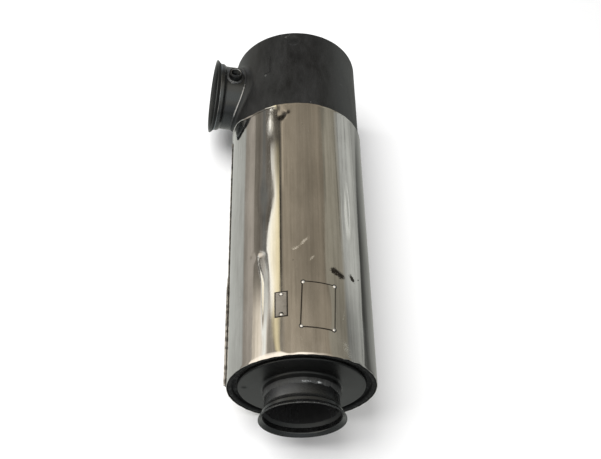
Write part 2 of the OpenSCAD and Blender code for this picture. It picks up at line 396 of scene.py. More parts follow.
def polished_steel(name, dirty_edges=()):
    """Mirror-polished stainless sheet: axial streaks, milky haze, scuffs, and where marked burnt stains and
    painted shade, with a line of painted shade round the edge of each plate given.
    """
    m = Surface(name, Metallic=1.0)
    even, along = m.place(EVEN), m.place(ALONG_BODY)
    streak = m.noise(along, 210, 6, 0.7)
    haze = m.noise(m.place(LONGER), 26, 6, 0.65)
    tone = m.plus(m.times(streak, 0.25), m.times(m.noise(along, 34), 0.25))
    tone = m.plus(tone, m.times(haze, 0.50))
    colour = m.mix(m.spread(tone, 0.38, 0.62), STEEL_DULL, STEEL_BRIGHT)
    stain = m.minus(m.plus(m.mask("stain"), m.noise(even, 330, 6, 0.8)), 1)
    stain = m.spread(stain, 0, 0.10)
    for plate in dirty_edges:
        stain = m.maths("MAXIMUM", stain, dirt_round(m, plate))
    scuff = m.spread(m.minus(m.plus(m.mask("scuff"), m.noise(even, 700, 2)), 1), 0, 0.3)
    colour = m.mix(stain, m.mix(scuff, colour, SCUFFED), BURNT)
    roughness = m.plus(m.spread(streak, 0.35, 0.7, 0.03, 0.08), m.spread(haze, 0.45, 0.75, 0, 0.10))
    roughness = m.plus(m.plus(roughness, m.times(stain, 0.4)), m.times(scuff, 0.35))
    wave = m.bump(m.noise(along, 42, 3), 0.10, 0.002)
    return m.finish(Base_Color=colour, Roughness=roughness, Normal=m.bump(streak, 0.04, 0.0006, wave))


def bare_steel(name, light, dark, rough, metallic=0.9):
    """Plain steel with haze and a fine grain, and a dark tone where marked: soot and dirt, and painted shade
    along crevices.
    """
    m = Surface(name, Metallic=metallic)
    where = m.place(EVEN)
    cloud = m.noise(where, 40, 6, 0.65)
    colour = m.mix(m.mask("stain"), m.mix(m.spread(cloud, 0.35, 0.65), dark, light), SOOT)
    return m.finish(Base_Color=colour, Roughness=m.spread(cloud, 0.3, 0.7, *rough),
                    Normal=m.bump(m.noise(where, 600, 3), 0.15, 0.0003))


def fibre(name, light, dark):
    """Needled mineral fibre."""
    m = Surface(name, Roughness=0.95, Sheen_Weight=0.3)
    strands = m.noise(m.place(ROUND_BODY), 300, 6, 0.75)
    return m.finish(Base_Color=m.mix(m.spread(strands, 0.35, 0.65), dark, light),
                    Normal=m.bump(strands, 0.8, 0.001))


# Plates riveted or welded on: middle angle and turn in radians, the rest in millimetres
NAME_PLATE = {"mid": math.radians(0.6), "y": 150.4, "half_u": 29.2, "half_v": 43.5,
              "turn": math.radians(-3), "base_r": SHIELD_R}
SERIAL_PLATE = {"mid": math.radians(-27.2), "y": 153.5, "half_u": 10.65, "half_v": 23.5,
                "turn": 0.0, "base_r": SHIELD_R}
SHELL_TAG = {"mid": math.radians(-39.6), "y": 718.5, "half_u": 8.0, "half_v": 21.5,
             "turn": 0.0, "base_r": SHELL_R}

PAINT = black_paint("satin_black_paint", 0.005, 0.021, (0.30, 0.50))
# A darker copy of the black paint, as painted shade on the end cap's face, which gets less light; the sensor
# bung uses it too
CAP_PAINT = black_paint("end_cap_black_paint", 0.002, 0.006, (0.26, 0.36), 0.33)
TUBE_PAINT = black_paint("tube_black_paint", 0.003, 0.012, (0.20, 0.30), 0.7)
WELD_PAINT = black_paint("painted_weld", 0.014, 0.040, (0.34, 0.50))
SHIELD = polished_steel("polished_stainless", (NAME_PLATE, SERIAL_PLATE))
STRIP = bare_steel("dull_strip", (0.62, 0.61, 0.60), (0.36, 0.35, 0.34), (0.2, 0.4))
PLATE = polished_steel("plate_steel")
SERIAL = bare_steel("serial_plate_steel", (0.34, 0.33, 0.32), (0.22, 0.21, 0.20), (0.32, 0.45))
RIVET = bare_steel("rivet_steel", (0.88, 0.88, 0.88), (0.6, 0.6, 0.6), (0.16, 0.26), 0.95)
INNER = bare_steel("inner_steel", (0.20, 0.19, 0.18), (0.06, 0.055, 0.05), (0.4, 0.6))
MAT = fibre("insulation_fibre", (0.72, 0.68, 0.58), (0.45, 0.41, 0.33))
PACKING = fibre("packing_fibre", (0.80, 0.73, 0.46), (0.5, 0.44, 0.26))


# ---------- heat shield ----------

FLARE_LEN = 17.0


def arc_len(a, degrees):
    """Distance round the shield from an angle given in degrees."""
    return (a - math.radians(degrees)) * SHIELD_R


def dents(a, y):
    """Knocks and hollows on the plates' side, in millimetres."""
    lift = -0.75 * bump(arc_len(a, -26), 0, 9) * bump(y, 574, 12)
    lift += 0.4 * bump(arc_len(a, -20), 0, 5) * bump(y, 570, 10)
    lift -= 0.7 * bump(arc_len(a, -41), 0, 12) * bump(y, 388, 34)
    crease = arc_len(a, -46.6) - 10.5 * step(y, 261, 195)
    hollow = step(crease, -2.2, 2.2) * step(crease, 24, 2.2)
    lift -= 0.8 * hollow * step(y, 268, 255) * step(y, 80, 180)
    lift -= 0.5 * bump(arc_len(a, -52), 0, 8) * bump(y, 262, 9)
    lift -= 0.35 * bump(arc_len(a, 30), 0, 8) * bump(y, 360, 60)
    return lift


def ripple(a, y):
    """The slight unevenness of rolled sheet."""
    return 0.16 * np.sin(a * 9 + 1.3) + 0.09 * np.sin(a * 17 + y / 190) + 0.15 * np.sin(y / 70 + a * 3)


def far_flare(a, y):
    """The far edge stands off on the inlet's side, with a lip where it was bent back."""
    degrees = np.degrees(a)
    amount = step(degrees, -46, -86) * step(degrees, -132, -106)
    along = np.clip((y - SHIELD_Y1 + FLARE_LEN) / FLARE_LEN, 0, 1)
    lip = 0.9 * step(y, SHIELD_Y1 - 3, SHIELD_Y1)
    turned_up = 0.3 * step(y, SHIELD_Y1 - 1.2, SHIELD_Y1)
    knock = 0.35 * bump(arc_len(a, -31), 0, 8) * step(y, SHIELD_Y1 - 12, SHIELD_Y1)
    return amount * (1.1 * along ** 2 + lip) + knock + turned_up


def corner_reach(a):
    """How far the sheet's corner runs on beside the inlet's neck."""
    degrees = np.degrees(wrapped(a))
    return 17.0 * step(degrees, -50, -86) * step(degrees, -128, -104)


def near_curl(a, y):
    """The near edge is rolled in over the end cap, further on the inlet's side."""
    degrees = np.degrees(a)
    wide = step(degrees, -66, -36) * step(degrees, -22, -29)
    length = 4.0 + 6.5 * wide
    depth = 0.28 + 0.75 * wide + 0.2 * bump(degrees, -10, 7) + 0.12 * np.sin(a * 23)
    along = np.clip((SHIELD_Y0 + length - y) / length, 0, 1)
    return -depth * along ** 2


def shield_lift(a, y):
    a = wrapped(a)
    low = ripple(a, y) + dents(a, y) + far_flare(a, y)
    return low * step(y, SHIELD_Y0, SHIELD_Y0 + 30) + near_curl(a, y)


def shield_shape(r, a, s):
    """Shapes the sheet, keeps it inside its box, and makes its two edges ragged."""
    ragged = np.abs(0.5 * np.sin(a * 7) + 0.3 * np.sin(a * 31 + 2))
    torn = 0.5 * np.abs(np.sin(a * 19)) + 1.6 * bump(arc_len(a, 34), 0, 9)
    torn = torn + 1.0 * bump(arc_len(a, 22), 0, 5)
    r = r + shield_lift(a, s)
    top = (SHIELD_R + 0.75) / np.maximum(np.cos(a), 0.5)
    below = SHIELD_R / np.maximum(-np.cos(a), 0.5)
    right = SHIELD_R / np.maximum(np.sin(a), 0.5)
    reach = corner_reach(a) * step(s, SHIELD_Y1 - 60, SHIELD_Y1)
    s = s + reach - ragged * step(s, SHIELD_Y1 - 8, SHIELD_Y1) + torn * step(s, SHIELD_Y0 + 8, SHIELD_Y0)
    return np.minimum(np.minimum(r, top), np.minimum(below, right)), s


def marked(p, radius, marks, ends=2):
    """The sum of soft marks on the body. Each has a strength, the angle in degrees and the y of its
    middle, half its length, half its width, and the turn of its length from +X to +Y in degrees.
    With a larger power, ends, its ends are blunter."""
    s, y = angle_of(p) * radius, p[:, 1]
    total = 0 * y
    for strength, at, middle, half_long, half_wide, turn in marks:
        ds, dy = s - math.radians(at) * radius, y - middle
        c, n = math.cos(math.radians(turn)), math.sin(math.radians(turn))
        total += strength * np.exp(-((ds * c + dy * n) / half_long) ** ends
                                   - ((dy * c - ds * n) / half_wide) ** 2)
    return total


# Burnt stains above the plate, painted shade in the dent by the far edge, and specks
STAINS = [(0.69, 13.5, 224, 11, 12, -10), (0.69, 21, 216, 11, 11, -15), (0.72, 31.5, 220, 16, 8, -50),
          (0.75, 38.6, 224, 3, 4, 0), (0.58, -30, 573, 7, 10, 20), (0.7, -17.8, 238, 2, 5, 0)]
STAINS += [(0.62, *at, 2.6, 3.4, 0) for at in ((-57.5, 210), (-66, 197), (-14.9, 219), (-72.2, 243))]

# Pale scratches: a hooked one and a short one above the plate, a ring round the stain, and rubs
SCUFFS = [(0.88, -9, 277, 20, 4.4, 48), (0.75, -17, 262, 8, 3.8, 10), (0.80, -3.2, 243, 12, 4, 50),
          (0.5, 24, 246, 24, 2.2, 0), (0.62, 22, 78, 14, 30, 20), (0.70, 31, 48, 14, 12, 0),
          (0.64, -8, 548, 18, 2.5, 96), (0.60, -3, 528, 14, 2.5, 84), (0.60, 21, 140, 30, 3, 75),
          (0.60, -13, 88, 8, 3, 100)]


def stain_marks(p):
    """The stains and the dent's painted shade, and a line of painted shade a little in from the far edge on
    the inlet's side.
    """
    a = angle_of(p)
    from_edge = SHIELD_Y1 + corner_reach(a) - p[:, 1]
    line = 0.9 * bump(from_edge, 4.6, 1.1) * step(a, math.radians(-26), math.radians(-34))
    return marked(p, SHIELD_R, STAINS) + line


def make_shield():
    ys = np.concatenate([np.arange(SHIELD_Y0, SHIELD_Y0 + 12, 1.0),
                         np.arange(SHIELD_Y0 + 12, SHIELD_Y0 + 30, 2.0),
                         np.arange(SHIELD_Y0 + 30, SHIELD_Y1 - 40, 4.0),
                         np.arange(SHIELD_Y1 - 40, SHIELD_Y1 - 1, 2.0), [SHIELD_Y1]])
    skin = revolved(wall(ys, SHIELD_R, SHIELD_T), 480, about_body, shield_shape)
    make_piece("heat_shield_skin", skin, ["heat_shield"], "polished_steel", SHIELD,
               stain=stain_marks, scuff=lambda p: marked(p, SHIELD_R, SCUFFS))


make_shield()


def make_seam():
    """The folded strip over the shield's joint, bent, pinched and lumpy along its length."""
    centre = math.atan2((seam_lo[0] + seam_hi[0]) / 2, (seam_lo[2] + seam_hi[2]) / 2)
    section = soften([(-4.6, -0.6), (-4.6, 0.9), (-1.6, 1.3), (-1.2, 3.0), (1.5, 3.1), (1.9, 1.2),
                      (4.6, 0.8), (4.6, -0.6)], 0.5)
    ys = np.arange(seam_lo[1], seam_hi[1] + 1, 2.5)
    rows = []
    for y in ys:
        spot = Vector((0.0, y / 24.0, 3.3))
        lean = 0.8 * noise.noise(spot)
        proud = 0.55 * step(y, 285, 255) + 0.25 * bump(y, 180, 60)
        tall = 0.85 + proud + (0.2 + 0.25 * proud) * noise.noise(spot * 3.1)
        s = section[:, 0] + lean * (section[:, 1] > 1)
        base = SHIELD_R + shield_lift(np.array(centre), np.array(y))
        r = base + np.minimum(section[:, 1] * tall, SEAM_H)
        rows.append(about_body(r, centre + s / SHIELD_R, y))
    faces = grid_faces(len(ys), len(section), False, True) + end_faces(len(ys), len(section))

    # Painted shade along the strip's low edges where it meets the sheet, and patches of dirt
    def crevice(p):
        low = step(off_body(p) - SHIELD_R, 1.7, 1.1)
        return 0.9 * low + 0.6 * step(wobble(p, 9.0, 31), 0.15, 0.45)

    make_piece("shield_seam_fold", (np.array(rows), faces), ["shield_seam_strip"], "seam_steel",
               STRIP, stain=crevice)


make_seam()


# ---------- shell ----------

def shell_shape(r, a, s):
    """A round dimple on the top, and slight waves."""
    around = wrapped(a)
    off = np.hypot((around - math.radians(-14)) * SHELL_R, (s - 776) * 0.95)
    dimple = 1.7 * step(off, 14.5, 8.5)
    soft = 0.12 * np.sin(a * 5) * step(s, SHIELD_Y1, SHIELD_Y1 + 40) * step(s, shell_hi[1], shell_hi[1] - 25)
    return r - dimple * (r > SHELL_R - 1) - 0.9 * dimple * (r < SHELL_R - 1) + soft - 0.1, s


def cut_round(piece, place, radius, reach):
    """Cuts a round hole with a boolean; the cutter runs between the two distances in reach."""
    outline = np.array([(0.0, reach[0]), (radius, reach[0]), (radius, reach[1]), (0.0, reach[1])])
    cutter = add_object("cutter", closed_mesh("cutter", *revolved(outline, 192, place, wrap=False)))
    change = piece.modifiers.new("cut", "BOOLEAN")
    change.operation = "DIFFERENCE"
    change.object = cutter
    change.solver = "EXACT"
    bpy.context.view_layer.update()
    shaped = bpy.data.meshes.new_from_object(piece.evaluated_get(bpy.context.evaluated_depsgraph_get()))
    piece.modifiers.clear()
    piece.data = shaped
    bpy.data.objects.remove(cutter)
    shaped.set_sharp_from_angle(angle=math.radians(40))


# Where the shell's paint is chipped or scratched to bare steel
SHELL_CHIPS = [(0.85, -41.2, 692, 3, 3, 0), (0.6, 35.5, 686, 10, 1.6, -8), (0.62, 0, 607, 4, 2.2, 40),
               (0.62, -19.5, 789, 9, 2.2, 20), (0.55, -20.5, 783, 6, 2, -65), (0.58, -6.5, 775, 11, 1.8, 90)]
# Painted shade in the round dimple on the top of the shell
DIMPLE_DIRT = [(0.9, -13.5, 776, 12, 10, 0)]
BLUNT = 4


def make_shell():
    ys = np.concatenate([np.arange(shell_lo[1], SHIELD_Y1, 8.0), np.arange(SHIELD_Y1, shell_hi[1] - 1, 2.5),
                         [shell_hi[1]]])
    skin = revolved(wall(ys, SHELL_R, SHELL_T), 360, about_body, shell_shape)
    piece = make_piece("shell_skin", skin, ["shell"], "black_paint", PAINT)
    cut_round(piece, about_inlet, TUBE_R + 0.1, (-SHELL_R - 20, -60))
    set_mask(piece, "bare", lambda p: marked(p, SHELL_R, SHELL_CHIPS, BLUNT))
    set_mask(piece, "grime", lambda p: marked(p, SHELL_R, DIMPLE_DIRT, BLUNT))


make_shell()


def round_inlet(tube_r, body_r, t):
    """Points at a radius from the inlet's axis that lie at a radius from the body's axis."""
    z = tube_r * np.sin(t)
    return points_of(-np.sqrt(body_r ** 2 - z ** 2), INLET_Y + tube_r * np.cos(t), z)


def make_neck():
    """The neck drawn out of the shell, with the fillet where it leaves the sheet."""
    bore = TUBE_R + 0.1
    side, fillet = bore + NECK_T, 6.0
    section = [(side + fillet + 1, SHELL_R - 1.2)]
    section += arc((side + fillet, SHELL_R + fillet), fillet, 270, 180, 8)
    section += [(side, NECK_TOP - 0.5), (side - 0.6, NECK_TOP), (bore + 0.4, NECK_TOP),
                (bore, NECK_TOP - 0.4), (bore, SHELL_R - 1.2)]
    t = full_turn(240)
    points = np.array([round_inlet(r, b, t) for r, b in section]).transpose(1, 0, 2)
    make_piece("shell_neck", (points, grid_faces(240, len(section), True, True)), ["shell"],
               "black_paint", PAINT)


make_neck()


# ---------- end caps ----------

BEND = 2.5
BEAD_W = 9.1
DISC_R = 110.8
GROOVE = 8.0
OUTLET_SKIRT = 15.0
CLOSED_SKIRT = 8.0
COLLAR_BEND = 4.0
COLLAR_R = TUBE_R + 0.2 + CAP_T


def cap_front(r, skirt):
    """Front of a cap whose rim has radius r, from its flat disc to its skirt: radius and depth."""
    points = arc((DISC_R - BEND, BEND), BEND, -90, 0)
    points += arc((DISC_R + BEND, GROOVE - BEND), BEND, 180, 90)
    points += arc((r - BEAD_W - BEND, GROOVE - BEND), BEND, 90, 0)
    points += arc((r - BEAD_W / 2, BEAD_W / 2), BEAD_W / 2, 180, 360, 16)
    return points + [(r, skirt)]


def cap_back(r, skirt):
    points = [(r - CAP_T, skirt)]
    points += arc((r - BEAD_W / 2, BEAD_W / 2), BEAD_W / 2 - CAP_T, 360, 180, 16)
    points += arc((r - BEAD_W - BEND, GROOVE - BEND), BEND + CAP_T, 0, 90)
    points += arc((DISC_R + BEND, GROOVE - BEND), BEND + CAP_T, 90, 180)
    return points + arc((DISC_R - BEND, BEND), BEND - CAP_T, 0, -90)


def make_outlet_cap():
    points = [(COLLAR_R - CAP_T, -COLLAR_H), (COLLAR_R, -COLLAR_H)]
    points += arc((COLLAR_R + COLLAR_BEND, -COLLAR_BEND), COLLAR_BEND, 180, 90)
    points += cap_front(BEAD_R, OUTLET_SKIRT) + cap_back(BEAD_R, OUTLET_SKIRT)
    points += arc((COLLAR_R + COLLAR_BEND, -COLLAR_BEND), COLLAR_BEND + CAP_T, 90, 180)
    outline = divided(points, 4.0)

    def shape(r, a, s):
        rim = step(r, DISC_R + 4, DISC_R + 12)
        dented = 0.35 * np.sin(a * 11 + 1) * np.sin(a * 4) + 0.25 * np.sin(a * 23)
        pinch = sum(size * bump((a - math.radians(at)) * BEAD_R, 0, 6)
                    for at, size in ((255, 0.9), (264, 1.2), (274, 0.8), (285, 1.1), (296, 0.6), (38, 0.8)))
        face = 0.25 * np.sin(r / 13.0) * step(r, COLLAR_R + 6, COLLAR_R + 20) * (1 - rim)
        return r, FACE_Y + s + rim * (np.maximum(dented, -0.3) + pinch) * (s < 6) + face

    # Painted shade on the rim round the disc, in the groove by the shield's edge, and a spot of grime on the
    # disc
    def soot(p):
        rim = step(off_body(p), DISC_R - 0.5, DISC_R + 1) * (0.85 + 0.5 * wobble(p, 5.0, 41))
        return rim + bump(np.hypot(p[:, 0] + 98, p[:, 2] + 14), 0, 4)

    make_piece("outlet_cap_skin", revolved(outline, 360, about_body, shape), ["outlet_end_cap"],
               "black_paint", CAP_PAINT, grime=soot)


def make_closed_cap():
    points = [(0.0, 0.0)] + cap_front(SHELL_R, CLOSED_SKIRT) + cap_back(SHELL_R, CLOSED_SKIRT)
    points.append((0.0, CAP_T))
    outline = divided(points, 4.0, closed=False)

    def shape(r, a, s):
        rim = step(r, DISC_R + 4, DISC_R + 12)
        return r - 0.1 * (r > BEAD_W), FAR_Y - s - 0.2 * np.abs(np.sin(a * 13)) * rim * (s < 6)

    make_piece("closed_cap_skin", revolved(outline, 360, about_body, shape, wrap=False),
               ["closed_end_cap"], "black_paint", PAINT)


make_outlet_cap()
make_closed_cap()


# ---------- tubes and V-band flanges ----------

def flange_outline():
    """The CAD flange's section with its edges rounded: radius and distance from the face."""
    return soften([
        (FLANGE_R - 1.3, 0), (FLANGE_R, 0), (FLANGE_R, 2.2), (TUBE_R + 4.6, 7.6), (TUBE_R + 4.1, 9),
        (TUBE_R + 4, 14.6), (TUBE_R + 3.4, 15.8), (TUBE_R + 0.6, 19.4), (TUBE_R, 20.6),
        (TUBE_R, FLANGE_LEN), (BORE, FLANGE_LEN), (BORE, 21), (BORE + 0.4, 20.2),
        (TUBE_R + 1.8, 15.4), (TUBE_R + 2, 14.6), (TUBE_R + 2, 6), (TUBE_R + 2.6, 4.9)], 0.7)


def make_flange(name, node, place, start, worn, grime):
    outline = divided(flange_outline(), 1.2) + np.array([0, start])

    def shape(r, a, s):
        lip = step(r, TUBE_R + 5, FLANGE_R)
        uneven = 0.1 * (1 + np.sin(a * 3 + 1))
        return r - uneven * lip, s + 0.1 * (1 + np.sin(a * 5)) * lip * (s < start + 4)

    make_piece(name, revolved(outline, 240, place, shape), [node], "black_paint", TUBE_PAINT,
               bare=worn, grime=grime)


def worn_rim(p):
    """The outlet flange is rubbed bright on the very edge of its lip."""
    return 0.43 * step(off_body(p), FLANGE_R - 0.7, FLANGE_R - 0.3)


def worn_ridge(p):
    """The inlet flange is rubbed bright on the ridge that its clamp bears on."""
    return 0.85 * bump(p[:, 0] - INLET_X, 8.2, 1.1) * step(off_inlet(p), TUBE_R + 3.4, TUBE_R + 3.8)


def mouth_soot(p):
    """Soot where the outlet flange's mouth narrows to the tube."""
    return 0.8 * step(p[:, 1] - flange_lo[1], 14, 15.2) * step(off_body(p), TUBE_R + 2.0, TUBE_R + 1.8)


def groove_dirt(p):
    """Painted shade in the deep gap behind the inlet flange's lip."""
    return bump(p[:, 0] - INLET_X, 5.0, 2.6)


make_flange("outlet_flange_ring", "outlet_flange", about_body, flange_lo[1], worn_rim, mouth_soot)
make_flange("inlet_flange_ring", "inlet_flange", about_inlet, INLET_X, worn_ridge, groove_dirt)


def make_tube(name, node, place, ends, dust):
    skin = revolved(divided(wall(ends, TUBE_R, TUBE_T), 6.0), 192, place)
    return make_piece(name, skin, [node], "black_paint", TUBE_PAINT, dust=dust)


def outlet_dust(p):
    """Painted light: paler inside the outlet tube, and a paler patch on its inlet side that stands for a
    highlight.
    """
    greyed = bump(np.degrees(angle_of(p)), -42, 26)
    return np.where(off_body(p) < TUBE_R - 0.8, 0.35, 0.62 * greyed)


def inlet_dust(p):
    return 0.5 * (off_inlet(p) < TUBE_R - 0.8)


make_tube("outlet_tube_wall", "outlet_tube", about_body, (tube_lo[1], tube_hi[1]), outlet_dust)
inlet_wall = make_tube("inlet_tube_wall", "inlet_tube", about_inlet, (in_tube_lo[0], in_tube_hi[0]),
                       inlet_dust)
cut_round(inlet_wall, about_bung, 9.4, (20, TUBE_R + 5))


# ---------- welds ----------

def weld_bead(name, node, foot, side_a, side_b, widths, height, ripple, seed, closed=True, **masks):
    """A weld along a line of foot points. side_a and side_b are unit directions along the two
    surfaces that it joins; the bead bulges between them with overlapping ripples."""
    run = np.cumsum(np.linalg.norm(np.roll(foot, -1, 0) - foot, axis=1))
    uneven = wobble(foot, 14.0, seed)
    fine = wobble(foot, 4.0, seed + 1)
    wave = np.abs(np.sin(run * math.pi / ripple + uneven))
    size = (1 + 0.16 * uneven + 0.10 * fine)[:, None]
    out = side_a + side_b
    out = out / np.linalg.norm(out, axis=-1, keepdims=True)
    rows = []
    for t in np.linspace(0, 1, 9):
        line = foot + side_a * (1 - t) * widths[0] * size + side_b * t * widths[1] * size
        rise = math.sin(math.pi * t) * (height + 0.28 * wave - 0.14 + 0.10 * fine)
        rows.append(line + out * rise[:, None])
    rows.append(foot - out * 0.5)
    faces = grid_faces(len(foot), len(rows), closed, True)
    if not closed:
        faces += end_faces(len(foot), len(rows))
    points = np.array(rows).transpose(1, 0, 2)
    make_piece(name, (points, faces), [node], "weld_bead", WELD_PAINT, sharp=60, **masks)


def collar_weld():
    a = full_turn(720)
    foot = about_body(TUBE_R + 0.1, a, WELD_Y - 0.4)

    def chips(p):
        angle = np.degrees(angle_of(p))
        return bump(p[:, 1], WELD_Y - 7, 3) * (0.56 * bump(angle, -7, 15) + 0.54 * bump(angle, 14, 7))

    weld_bead("outlet_collar_bead", "outlet_collar_weld", foot, about_body(1, a, 0),
              np.array([0, -1, 0]), (2.6, 9.0), 0.7, 2.6, 3, bare=chips)


def saddle_weld():
    """The bead between the tube and the lip of the shell's neck."""
    t = full_turn(720)
    foot = round_inlet(TUBE_R + 0.1, NECK_TOP - 0.1, t)

    # Bare steel along the bead's upper side, partly a painted highlight on its crest
    def chips(p):
        angle = np.degrees(np.arctan2(p[:, 2], p[:, 1] - INLET_Y)) % 360
        return 0.85 * step(angle, 98, 108) * step(angle, 172, 160)

    weld_bead("inlet_saddle_bead", "inlet_saddle_weld", foot, points_of(0, np.cos(t), np.sin(t)),
              np.array([-1, 0, 0]), (2.4, 2.6), 0.4, 2.8, 7, bare=chips)


def bung_weld():
    t = full_turn(240)
    x, y = BUNG_R * np.cos(t), BUNG_R * np.sin(t)
    z = np.sqrt(TUBE_R ** 2 - y ** 2)
    radial = points_of(np.cos(t), np.sin(t), 0)
    normal = points_of(0, y, z) / TUBE_R
    on_tube = radial - normal * (radial * normal).sum(1)[:, None]
    on_tube /= np.linalg.norm(on_tube, axis=1, keepdims=True)
    weld_bead("sensor_bung_bead", "sensor_bung_weld", points_of(BUNG_X + x, INLET_Y + y, z), on_tube,
              np.array([0, 0, 1]), (3.6, 2.8), 0.7, 2.4, 11, bare=lambda p: 0.45 * (p[:, 1] < INLET_Y - 6))


def seam_weld():
    lo, hi = node_box("shell_seam_weld")
    angle = math.atan2((lo[0] + hi[0]) / 2, (lo[2] + hi[2]) / 2)
    foot = about_body(SHELL_R, angle, np.arange(lo[1], hi[1], 0.8))
    side, out = about_body(1, angle + math.pi / 2, 0), about_body(1, angle, 0)
    weld_bead("shell_seam_bead", "shell_seam_weld", foot, side * 0.98 + out * 0.15,
              out * 0.15 - side * 0.98, (2.4, 2.4), 0.8, 2.6, 15, closed=False)


collar_weld()
saddle_weld()
bung_weld()
seam_weld()


# ---------- sensor bung ----------

def make_bung():
    """A turned boss with a chamfered mouth and thread grooves in its bore."""
    bore, pitch, chamfer = 8.4, 1.5, 1.4
    points = [(BUNG_R, 0.0), (BUNG_R, BUNG_TOP - 0.8), (BUNG_R - 0.8, BUNG_TOP),
              (bore + chamfer, BUNG_TOP), (bore + 0.1, BUNG_TOP - chamfer)]
    turns = 7
    for k in range(turns):
        top = BUNG_TOP - chamfer - k * pitch
        points += [(bore, top - 0.2), (bore, top - 0.5), (bore + 0.75, top - 0.85), (bore + 0.75, top - 1.0)]
    points += [(bore, BUNG_TOP - chamfer - turns * pitch), (bore, 0.0)]
    outline = soften(points, 0.25, 2)
    low = BUNG_TOP - chamfer - turns * pitch - 1

    def shape(r, a, s):
        seat = np.sqrt((TUBE_R - 0.6) ** 2 - (r * np.sin(a)) ** 2)
        return r, np.where(s < low, seat, s)

    # A painted highlight on the chamfered mouth, as a ring of bare steel
    def worn_mouth(p):
        off_axis = np.hypot(p[:, 0] - BUNG_X, p[:, 1] - INLET_Y)
        return 0.9 * (p[:, 2] > BUNG_TOP - 0.9) * bump(off_axis, bore + chamfer, 0.7)

    make_piece("sensor_bung_boss", revolved(outline, 96, about_bung, shape), ["sensor_bung"],
               "black_paint", CAP_PAINT, bare=worn_mouth)


make_bung()


# ---------- plates, tag and rivets ----------

def corner_lines(half, corner, spacing):
    """Positions from -half to half, with closer lines across each corner."""
    inner = max(2, round(2 * (half - corner) / spacing))
    side = np.linspace(half - corner, half, 6)[1:]
    return np.concatenate([-side[::-1], np.linspace(-(half - corner), half - corner, inner + 1), side])


def round_corners(u, v, half_u, half_v, corner):
    """Pulls the corners of a rectangle in to an arc."""
    du = np.clip((np.abs(u) - (half_u - corner)) / corner, 0, 1)
    dv = np.clip((np.abs(v) - (half_v - corner)) / corner, 0, 1)
    new_u = (half_u - corner) + corner * du * np.sqrt(1 - dv ** 2 / 2)
    new_v = (half_v - corner) + corner * dv * np.sqrt(1 - du ** 2 / 2)
    both = (du > 0) & (dv > 0)
    return np.where(both, np.sign(u) * new_u, u), np.where(both, np.sign(v) * new_v, v)


def on_plate(plate, u, v, height):
    """Points on a plate that is bent to the body: u across it, v along it."""
    c, s = math.cos(plate["turn"]), math.sin(plate["turn"])
    r = plate["base_r"]
    return about_body(r + height, plate["mid"] + (u * c - v * s) / r, plate["y"] + u * s + v * c)


def curved_plate(name, node, plate, top, corner, relief, slot, material, spacing=1.2, **masks):
    """A thin plate bent to the body, its top pressed by relief(u, v) in millimetres."""
    half_u, half_v = plate["half_u"], plate["half_v"]
    u, v = np.meshgrid(corner_lines(half_u, corner, spacing), corner_lines(half_v, corner, spacing),
                       indexing="ij")
    u, v = round_corners(u, v, half_u, half_v, corner)
    rows, cols = u.shape
    upper = on_plate(plate, u, v, top + relief(u, v, half_u, half_v))
    lower = on_plate(plate, u, v, np.full(u.shape, -0.15))
    points = np.concatenate([upper.reshape(-1, 3), lower.reshape(-1, 3)])
    faces = grid_faces(rows, cols, False, False)
    faces += [tuple(rows * cols + k for k in reversed(f)) for f in faces]
    rim = [i * cols for i in range(rows)] + [(rows - 1) * cols + j for j in range(1, cols)]
    rim += [i * cols + cols - 1 for i in reversed(range(rows - 1))] + list(reversed(range(1, cols - 1)))
    for k, m in zip(rim, rim[1:] + rim[:1]):
        faces.append((k, m, rows * cols + m, rows * cols + k))
    make_piece(name, (points, faces), [node], slot, material, sharp=45, **masks)


def edge_distance(u, v, half_u, half_v):
    return np.minimum(half_u - np.abs(u), half_v - np.abs(v))


def dirty_edge(plate):
    """Painted shade on the outermost strip of a plate, as a value for set_mask."""
    c, s = math.cos(plate["turn"]), math.sin(plate["turn"])

    def value(p):
        across = (angle_of(p) - plate["mid"]) * plate["base_r"]
        along = p[:, 1] - plate["y"]
        u, v = across * c + along * s, along * c - across * s
        return step(edge_distance(u, v, plate["half_u"], plate["half_v"]), 1.4, 1.1)

    return value


def data_relief(u, v, half_u, half_v):
    """A rolled-over edge, and a slight bow between the rivets."""
    edge = edge_distance(u, v, half_u, half_v)
    bow = 0.35 * (1 - (v / half_v) ** 2) * bump(np.abs(u), half_u, 9)
    return bow - 0.25 * step(edge, 1.2, 0)


def serial_relief(u, v, half_u, half_v):
    """A raised frame inside the edge, and a very slight dish."""
    edge = edge_distance(u, v, half_u, half_v)
    return 0.15 * bump(edge, 1.6, 0.5) - 0.1 * (1 - (v / half_v) ** 2)


def tag_relief(u, v, half_u, half_v):
    """A shallow pressed field with a weld spot near each end and a groove down one side."""
    edge = edge_distance(u, v, half_u, half_v)
    spots = sum(0.3 * bump(np.hypot(u, v - s * (half_v - 4)), 0, 1.6) for s in (-1, 1))
    return -0.2 * step(edge, 1.8, 2.8) - 0.3 * bump(u, half_u - 1.6, 0.8) + spots


def groove_grime(p):
    """Painted shadow in the groove down the tag's side."""
    groove = SHELL_TAG["mid"] * SHELL_R + SHELL_TAG["half_u"] - 1.6
    return bump(angle_of(p) * SHELL_R, groove, 1.2) * (p[:, 1] < SHELL_TAG["y"] + 17)


curved_plate("name_plate_sheet", "name_plate", NAME_PLATE, 0.6, 2.0, data_relief, "plate_metal", PLATE,
             stain=dirty_edge(NAME_PLATE))
curved_plate("serial_plate_sheet", "serial_plate", SERIAL_PLATE, 0.55, 2.0, serial_relief,
             "plate_metal", SERIAL, 0.6, stain=dirty_edge(SERIAL_PLATE))
curved_plate("shell_tag_sheet", "shell_tag", SHELL_TAG, 0.6, 1.5, tag_relief, "black_paint", PAINT, 0.8,
             grime=groove_grime)

RIVET_R = 2.75
RIVET_DIRT = 1.6


